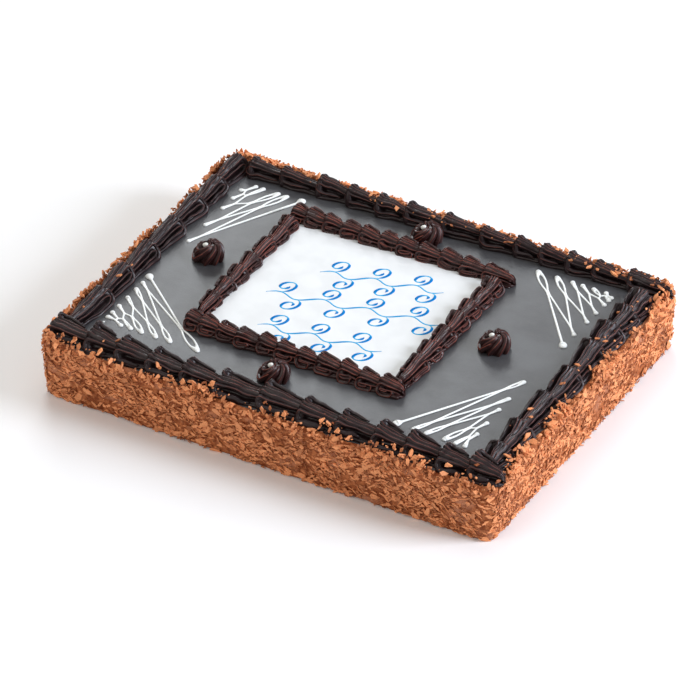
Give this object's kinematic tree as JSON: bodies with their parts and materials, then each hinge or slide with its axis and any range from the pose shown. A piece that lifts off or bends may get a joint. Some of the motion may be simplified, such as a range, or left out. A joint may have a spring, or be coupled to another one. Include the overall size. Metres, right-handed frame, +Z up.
{
  "type": "opera cake",
  "caption": "Rectangular opera cake with a flaked chocolate side, a dark glaze, piped ganache shell borders, ganache rosettes, corner drizzles and a framed white icing panel.",
  "frame": {"origin": "centre of the cake's flat underside", "axes": "+X runs along the long side, +Y from the front long side to the back one, +Z up"},
  "size_m": [0.4099, 0.3107, 0.0671],
  "materials": {
    "shaved_chocolate": "milk chocolate shavings pressed on all over, matt to satin",
    "dark_glaze": "satin dark chocolate glaze with white icing drizzle",
    "white_icing": "smooth white icing with blue flourishes",
    "border_ganache": "near-black piped ganache with a satin sheen",
    "frame_ganache": "dark brown piped ganache, slightly glossy"
  },
  "bodies": {
    "root": {"cake": "shaved_chocolate", "glaze": "dark_glaze", "plaque": "white_icing", "border_front": "border_ganache", "border_back": "border_ganache", "border_left": "border_ganache", "border_right": "border_ganache", "frame_front": "frame_ganache", "frame_back": "frame_ganache", "frame_left": "frame_ganache", "frame_right": "frame_ganache", "rosette_left": "frame_ganache", "rosette_front": "frame_ganache", "rosette_right": "frame_ganache", "rosette_back": "frame_ganache"}
  },
  "joints": []
}
